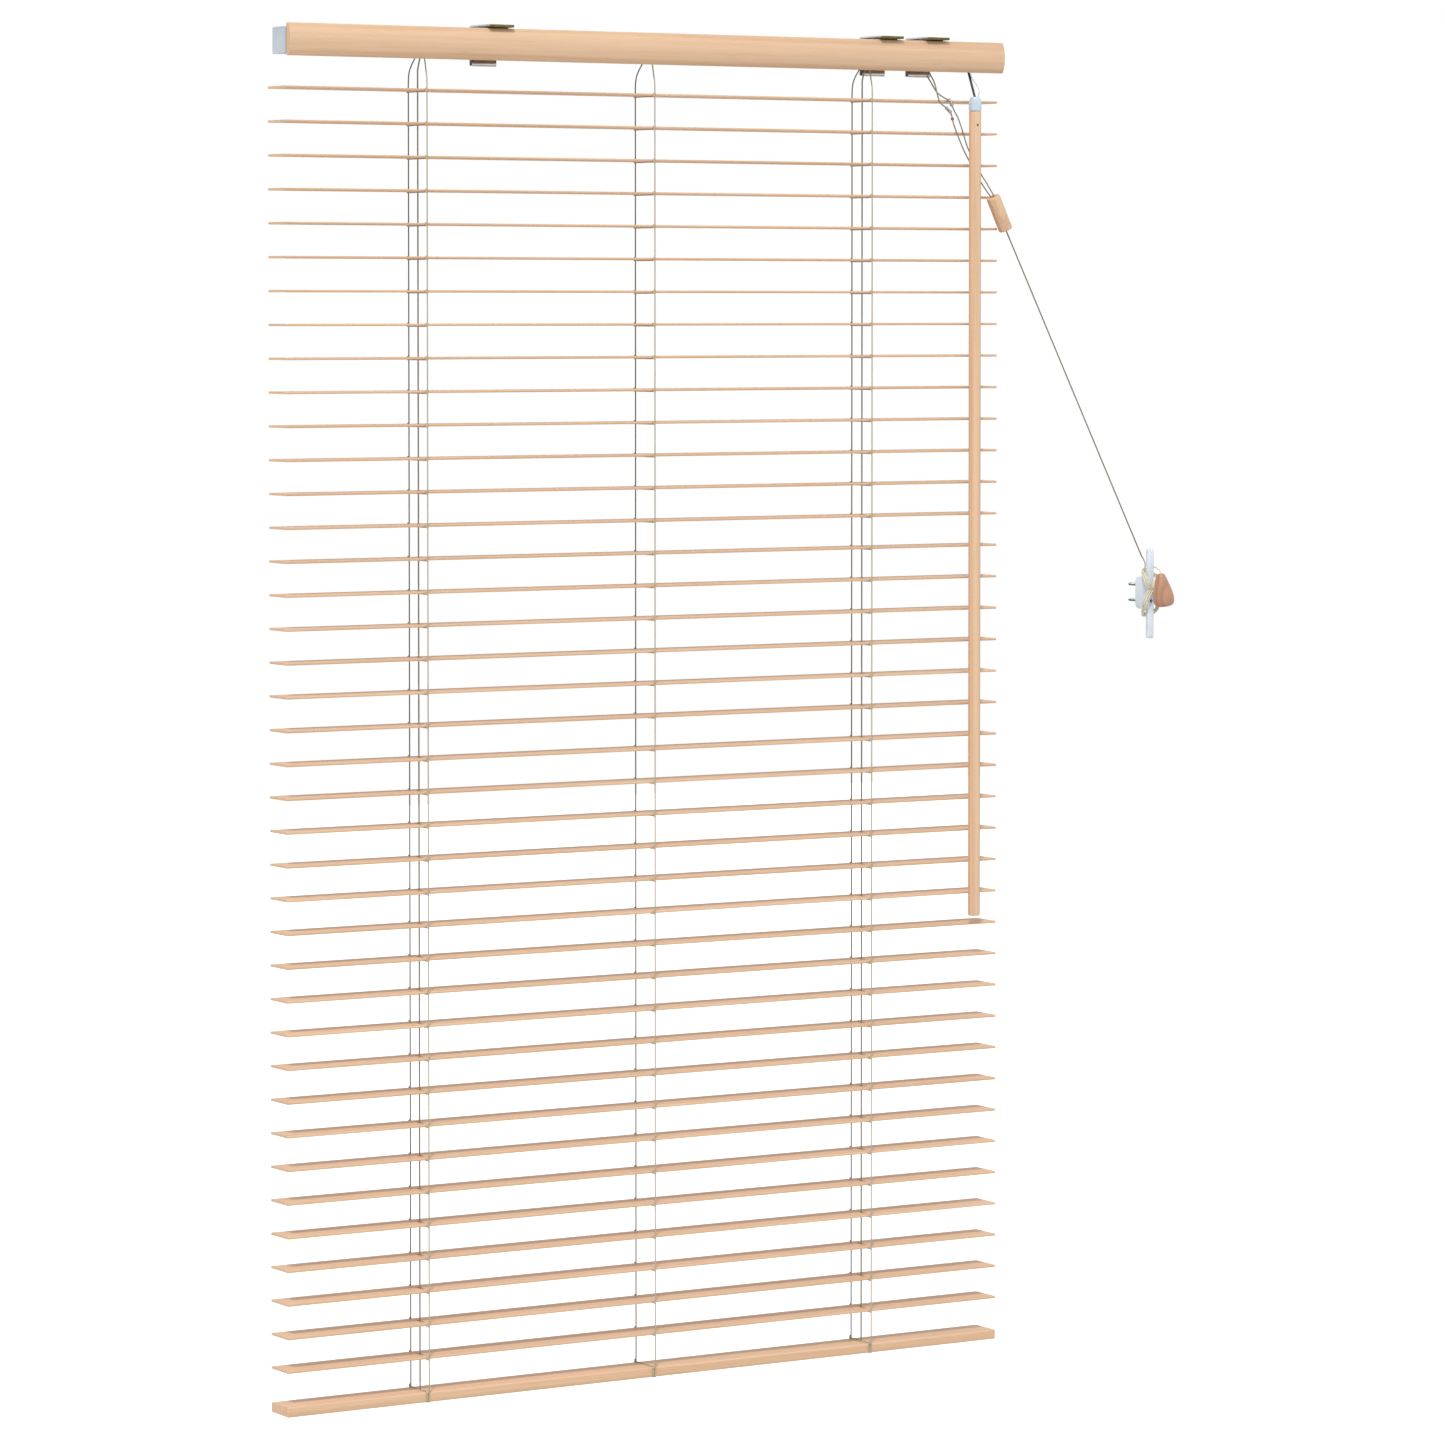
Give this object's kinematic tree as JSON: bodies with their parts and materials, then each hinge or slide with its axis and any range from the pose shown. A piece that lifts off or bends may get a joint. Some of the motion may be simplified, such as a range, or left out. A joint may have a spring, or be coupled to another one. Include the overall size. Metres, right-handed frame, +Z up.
{
  "type": "venetian blind",
  "caption": "Wooden venetian blind: tilting slats under a head rail with valance, brackets, tilt wand, cord lock, pull cord and wall cleat.",
  "frame": {"origin": "middle of the left bracket's top face, which is screwed up to a lintel or ceiling", "axes": "+Z up, +X along the slats to the wand's end, -Y towards the room"},
  "size_m": [0.9949, 0.071, 1.3018],
  "materials": {
    "wood": "pale clear-coated wood",
    "dark_wood": "reddish stained wood",
    "rail_metal": "light blue-grey enamel",
    "plated_steel": "zinc plated",
    "clear_plastic": "translucent, slightly blue",
    "grey_plastic": "moulded",
    "cord": "braided polyester"
  },
  "bodies": {
    "head_assembly": {"head_rail": "rail_metal", "end_cap_left": "rail_metal", "end_cap_right": "rail_metal", "valance": "wood", "bracket_left": "plated_steel", "bracket_middle": "plated_steel", "bracket_right": "plated_steel", "tilter_housing": "grey_plastic", "cord_lock": "grey_plastic", "lift_cord_left": "cord", "lift_cord_right": "cord", "cord_condenser": "wood", "pull_cord": "cord", "cord_cleat": "clear_plastic", "cord_knob": "dark_wood"},
    "bottom_rail": {"bottom_rail": "wood"},
    "tilt_rod": {"tilt_rod": "plated_steel"},
    "tilter_worm": {"tilter_worm": "plated_steel"},
    "wand_cap": {"wand_cap": "clear_plastic"},
    "wand": {"wand": "wood"},
    "cord_lock_pawl": {"cord_lock_pawl": "grey_plastic"},
    "slat_01": {"slat_01": "wood"},
    "slat_02": {"slat_02": "wood"},
    "slat_03": {"slat_03": "wood"},
    "slat_04": {"slat_04": "wood"},
    "slat_05": {"slat_05": "wood"},
    "slat_06": {"slat_06": "wood"},
    "slat_07": {"slat_07": "wood"},
    "slat_08": {"slat_08": "wood"},
    "slat_09": {"slat_09": "wood"},
    "slat_10": {"slat_10": "wood"},
    "slat_11": {"slat_11": "wood"},
    "slat_12": {"slat_12": "wood"},
    "slat_13": {"slat_13": "wood"},
    "slat_14": {"slat_14": "wood"},
    "slat_15": {"slat_15": "wood"},
    "slat_16": {"slat_16": "wood"},
    "slat_17": {"slat_17": "wood"},
    "slat_18": {"slat_18": "wood"},
    "slat_19": {"slat_19": "wood"},
    "slat_20": {"slat_20": "wood"},
    "slat_21": {"slat_21": "wood"},
    "slat_22": {"slat_22": "wood"},
    "slat_23": {"slat_23": "wood"},
    "slat_24": {"slat_24": "wood"},
    "slat_25": {"slat_25": "wood"},
    "slat_26": {"slat_26": "wood"},
    "slat_27": {"slat_27": "wood"},
    "slat_28": {"slat_28": "wood"},
    "slat_29": {"slat_29": "wood"},
    "slat_30": {"slat_30": "wood"},
    "slat_31": {"slat_31": "wood"},
    "slat_32": {"slat_32": "wood"},
    "slat_33": {"slat_33": "wood"},
    "slat_34": {"slat_34": "wood"},
    "slat_35": {"slat_35": "wood"},
    "slat_36": {"slat_36": "wood"},
    "slat_37": {"slat_37": "wood"},
    "slat_38": {"slat_38": "wood"},
    "slat_39": {"slat_39": "wood"}
  },
  "joints": [
    {"name": "bottom_rail_tilt", "type": "hinge", "parent": "head_assembly", "child": "bottom_rail", "pos_m": [0.175, 0, -1.2971], "axis": [1, 0, 0], "range_deg": [-75, 75]},
    {"name": "tilt_rod_turn", "type": "hinge", "parent": "head_assembly", "child": "tilt_rod", "pos_m": [0.175, -0.001, -0.019], "axis": [1, 0, 0], "range_deg": [-120, 120]},
    {"name": "tilter_worm_spin", "type": "hinge", "parent": "head_assembly", "child": "tilter_worm", "pos_m": [0.54, -0.027, -0.0595], "axis": [0, 0.4131, 0.9107], "range_deg": [-1080, 1080]},
    {"name": "wand_swing", "type": "hinge", "parent": "head_assembly", "child": "wand_cap", "pos_m": [0.54, -0.027, -0.0595], "axis": [-1, 0, 0], "range_deg": [0, 70]},
    {"name": "wand_spin", "type": "hinge", "parent": "wand_cap", "child": "wand", "pos_m": [0.54, -0.027, -0.0723], "axis": [0, 0, 1], "range_deg": [-1080, 1080]},
    {"name": "cord_lock_pawl_swing", "type": "hinge", "parent": "head_assembly", "child": "cord_lock_pawl", "pos_m": [0.483, -0.01135, -0.0165], "axis": [0, -1, 0], "range_deg": [0, 35]},
    {"name": "slat_01_tilt", "type": "hinge", "parent": "head_assembly", "child": "slat_01", "pos_m": [0.175, 0, -0.06265], "axis": [1, 0, 0], "range_deg": [-75, 75]},
    {"name": "slat_02_tilt", "type": "hinge", "parent": "head_assembly", "child": "slat_02", "pos_m": [0.175, 0, -0.09415], "axis": [1, 0, 0], "range_deg": [-75, 75]},
    {"name": "slat_03_tilt", "type": "hinge", "parent": "head_assembly", "child": "slat_03", "pos_m": [0.175, 0, -0.12565], "axis": [1, 0, 0], "range_deg": [-75, 75]},
    {"name": "slat_04_tilt", "type": "hinge", "parent": "head_assembly", "child": "slat_04", "pos_m": [0.175, 0, -0.15715], "axis": [1, 0, 0], "range_deg": [-75, 75]},
    {"name": "slat_05_tilt", "type": "hinge", "parent": "head_assembly", "child": "slat_05", "pos_m": [0.175, 0, -0.18865], "axis": [1, 0, 0], "range_deg": [-75, 75]},
    {"name": "slat_06_tilt", "type": "hinge", "parent": "head_assembly", "child": "slat_06", "pos_m": [0.175, 0, -0.22015], "axis": [1, 0, 0], "range_deg": [-75, 75]},
    {"name": "slat_07_tilt", "type": "hinge", "parent": "head_assembly", "child": "slat_07", "pos_m": [0.175, 0, -0.25165], "axis": [1, 0, 0], "range_deg": [-75, 75]},
    {"name": "slat_08_tilt", "type": "hinge", "parent": "head_assembly", "child": "slat_08", "pos_m": [0.175, 0, -0.28315], "axis": [1, 0, 0], "range_deg": [-75, 75]},
    {"name": "slat_09_tilt", "type": "hinge", "parent": "head_assembly", "child": "slat_09", "pos_m": [0.175, 0, -0.31465], "axis": [1, 0, 0], "range_deg": [-75, 75]},
    {"name": "slat_10_tilt", "type": "hinge", "parent": "head_assembly", "child": "slat_10", "pos_m": [0.175, 0, -0.34615], "axis": [1, 0, 0], "range_deg": [-75, 75]},
    {"name": "slat_11_tilt", "type": "hinge", "parent": "head_assembly", "child": "slat_11", "pos_m": [0.175, 0, -0.37765], "axis": [1, 0, 0], "range_deg": [-75, 75]},
    {"name": "slat_12_tilt", "type": "hinge", "parent": "head_assembly", "child": "slat_12", "pos_m": [0.175, 0, -0.40915], "axis": [1, 0, 0], "range_deg": [-75, 75]},
    {"name": "slat_13_tilt", "type": "hinge", "parent": "head_assembly", "child": "slat_13", "pos_m": [0.175, 0, -0.44065], "axis": [1, 0, 0], "range_deg": [-75, 75]},
    {"name": "slat_14_tilt", "type": "hinge", "parent": "head_assembly", "child": "slat_14", "pos_m": [0.175, 0, -0.47215], "axis": [1, 0, 0], "range_deg": [-75, 75]},
    {"name": "slat_15_tilt", "type": "hinge", "parent": "head_assembly", "child": "slat_15", "pos_m": [0.175, 0, -0.50365], "axis": [1, 0, 0], "range_deg": [-75, 75]},
    {"name": "slat_16_tilt", "type": "hinge", "parent": "head_assembly", "child": "slat_16", "pos_m": [0.175, 0, -0.53515], "axis": [1, 0, 0], "range_deg": [-75, 75]},
    {"name": "slat_17_tilt", "type": "hinge", "parent": "head_assembly", "child": "slat_17", "pos_m": [0.175, 0, -0.56665], "axis": [1, 0, 0], "range_deg": [-75, 75]},
    {"name": "slat_18_tilt", "type": "hinge", "parent": "head_assembly", "child": "slat_18", "pos_m": [0.175, 0, -0.59815], "axis": [1, 0, 0], "range_deg": [-75, 75]},
    {"name": "slat_19_tilt", "type": "hinge", "parent": "head_assembly", "child": "slat_19", "pos_m": [0.175, 0, -0.62965], "axis": [1, 0, 0], "range_deg": [-75, 75]},
    {"name": "slat_20_tilt", "type": "hinge", "parent": "head_assembly", "child": "slat_20", "pos_m": [0.175, 0, -0.66115], "axis": [1, 0, 0], "range_deg": [-75, 75]},
    {"name": "slat_21_tilt", "type": "hinge", "parent": "head_assembly", "child": "slat_21", "pos_m": [0.175, 0, -0.69265], "axis": [1, 0, 0], "range_deg": [-75, 75]},
    {"name": "slat_22_tilt", "type": "hinge", "parent": "head_assembly", "child": "slat_22", "pos_m": [0.175, 0, -0.72415], "axis": [1, 0, 0], "range_deg": [-75, 75]},
    {"name": "slat_23_tilt", "type": "hinge", "parent": "head_assembly", "child": "slat_23", "pos_m": [0.175, 0, -0.75565], "axis": [1, 0, 0], "range_deg": [-75, 75]},
    {"name": "slat_24_tilt", "type": "hinge", "parent": "head_assembly", "child": "slat_24", "pos_m": [0.175, 0, -0.78715], "axis": [1, 0, 0], "range_deg": [-75, 75]},
    {"name": "slat_25_tilt", "type": "hinge", "parent": "head_assembly", "child": "slat_25", "pos_m": [0.175, 0, -0.81865], "axis": [1, 0, 0], "range_deg": [-75, 75]},
    {"name": "slat_26_tilt", "type": "hinge", "parent": "head_assembly", "child": "slat_26", "pos_m": [0.175, 0, -0.85015], "axis": [1, 0, 0], "range_deg": [-75, 75]},
    {"name": "slat_27_tilt", "type": "hinge", "parent": "head_assembly", "child": "slat_27", "pos_m": [0.175, 0, -0.88165], "axis": [1, 0, 0], "range_deg": [-75, 75]},
    {"name": "slat_28_tilt", "type": "hinge", "parent": "head_assembly", "child": "slat_28", "pos_m": [0.175, 0, -0.91315], "axis": [1, 0, 0], "range_deg": [-75, 75]},
    {"name": "slat_29_tilt", "type": "hinge", "parent": "head_assembly", "child": "slat_29", "pos_m": [0.175, 0, -0.94465], "axis": [1, 0, 0], "range_deg": [-75, 75]},
    {"name": "slat_30_tilt", "type": "hinge", "parent": "head_assembly", "child": "slat_30", "pos_m": [0.175, 0, -0.97615], "axis": [1, 0, 0], "range_deg": [-75, 75]},
    {"name": "slat_31_tilt", "type": "hinge", "parent": "head_assembly", "child": "slat_31", "pos_m": [0.175, 0, -1.00765], "axis": [1, 0, 0], "range_deg": [-75, 75]},
    {"name": "slat_32_tilt", "type": "hinge", "parent": "head_assembly", "child": "slat_32", "pos_m": [0.175, 0, -1.03915], "axis": [1, 0, 0], "range_deg": [-75, 75]},
    {"name": "slat_33_tilt", "type": "hinge", "parent": "head_assembly", "child": "slat_33", "pos_m": [0.175, 0, -1.07065], "axis": [1, 0, 0], "range_deg": [-75, 75]},
    {"name": "slat_34_tilt", "type": "hinge", "parent": "head_assembly", "child": "slat_34", "pos_m": [0.175, 0, -1.10215], "axis": [1, 0, 0], "range_deg": [-75, 75]},
    {"name": "slat_35_tilt", "type": "hinge", "parent": "head_assembly", "child": "slat_35", "pos_m": [0.175, 0, -1.13365], "axis": [1, 0, 0], "range_deg": [-75, 75]},
    {"name": "slat_36_tilt", "type": "hinge", "parent": "head_assembly", "child": "slat_36", "pos_m": [0.175, 0, -1.16515], "axis": [1, 0, 0], "range_deg": [-75, 75]},
    {"name": "slat_37_tilt", "type": "hinge", "parent": "head_assembly", "child": "slat_37", "pos_m": [0.175, 0, -1.19665], "axis": [1, 0, 0], "range_deg": [-75, 75]},
    {"name": "slat_38_tilt", "type": "hinge", "parent": "head_assembly", "child": "slat_38", "pos_m": [0.175, 0, -1.22815], "axis": [1, 0, 0], "range_deg": [-75, 75]},
    {"name": "slat_39_tilt", "type": "hinge", "parent": "head_assembly", "child": "slat_39", "pos_m": [0.175, 0, -1.25965], "axis": [1, 0, 0], "range_deg": [-75, 75]}
  ],
  "couplings": [
    {"joint": "tilt_rod_turn", "follows": "bottom_rail_tilt", "ratio": 1.6},
    {"joint": "tilter_worm_spin", "follows": "bottom_rail_tilt", "ratio": 14.4},
    {"joint": "wand_spin", "follows": "bottom_rail_tilt", "ratio": 14.4},
    {"joint": "slat_01_tilt", "follows": "bottom_rail_tilt", "ratio": 1},
    {"joint": "slat_02_tilt", "follows": "bottom_rail_tilt", "ratio": 1},
    {"joint": "slat_03_tilt", "follows": "bottom_rail_tilt", "ratio": 1},
    {"joint": "slat_04_tilt", "follows": "bottom_rail_tilt", "ratio": 1},
    {"joint": "slat_05_tilt", "follows": "bottom_rail_tilt", "ratio": 1},
    {"joint": "slat_06_tilt", "follows": "bottom_rail_tilt", "ratio": 1},
    {"joint": "slat_07_tilt", "follows": "bottom_rail_tilt", "ratio": 1},
    {"joint": "slat_08_tilt", "follows": "bottom_rail_tilt", "ratio": 1},
    {"joint": "slat_09_tilt", "follows": "bottom_rail_tilt", "ratio": 1},
    {"joint": "slat_10_tilt", "follows": "bottom_rail_tilt", "ratio": 1},
    {"joint": "slat_11_tilt", "follows": "bottom_rail_tilt", "ratio": 1},
    {"joint": "slat_12_tilt", "follows": "bottom_rail_tilt", "ratio": 1},
    {"joint": "slat_13_tilt", "follows": "bottom_rail_tilt", "ratio": 1},
    {"joint": "slat_14_tilt", "follows": "bottom_rail_tilt", "ratio": 1},
    {"joint": "slat_15_tilt", "follows": "bottom_rail_tilt", "ratio": 1},
    {"joint": "slat_16_tilt", "follows": "bottom_rail_tilt", "ratio": 1},
    {"joint": "slat_17_tilt", "follows": "bottom_rail_tilt", "ratio": 1},
    {"joint": "slat_18_tilt", "follows": "bottom_rail_tilt", "ratio": 1},
    {"joint": "slat_19_tilt", "follows": "bottom_rail_tilt", "ratio": 1},
    {"joint": "slat_20_tilt", "follows": "bottom_rail_tilt", "ratio": 1},
    {"joint": "slat_21_tilt", "follows": "bottom_rail_tilt", "ratio": 1},
    {"joint": "slat_22_tilt", "follows": "bottom_rail_tilt", "ratio": 1},
    {"joint": "slat_23_tilt", "follows": "bottom_rail_tilt", "ratio": 1},
    {"joint": "slat_24_tilt", "follows": "bottom_rail_tilt", "ratio": 1},
    {"joint": "slat_25_tilt", "follows": "bottom_rail_tilt", "ratio": 1},
    {"joint": "slat_26_tilt", "follows": "bottom_rail_tilt", "ratio": 1},
    {"joint": "slat_27_tilt", "follows": "bottom_rail_tilt", "ratio": 1},
    {"joint": "slat_28_tilt", "follows": "bottom_rail_tilt", "ratio": 1},
    {"joint": "slat_29_tilt", "follows": "bottom_rail_tilt", "ratio": 1},
    {"joint": "slat_30_tilt", "follows": "bottom_rail_tilt", "ratio": 1},
    {"joint": "slat_31_tilt", "follows": "bottom_rail_tilt", "ratio": 1},
    {"joint": "slat_32_tilt", "follows": "bottom_rail_tilt", "ratio": 1},
    {"joint": "slat_33_tilt", "follows": "bottom_rail_tilt", "ratio": 1},
    {"joint": "slat_34_tilt", "follows": "bottom_rail_tilt", "ratio": 1},
    {"joint": "slat_35_tilt", "follows": "bottom_rail_tilt", "ratio": 1},
    {"joint": "slat_36_tilt", "follows": "bottom_rail_tilt", "ratio": 1},
    {"joint": "slat_37_tilt", "follows": "bottom_rail_tilt", "ratio": 1},
    {"joint": "slat_38_tilt", "follows": "bottom_rail_tilt", "ratio": 1},
    {"joint": "slat_39_tilt", "follows": "bottom_rail_tilt", "ratio": 1}
  ]
}
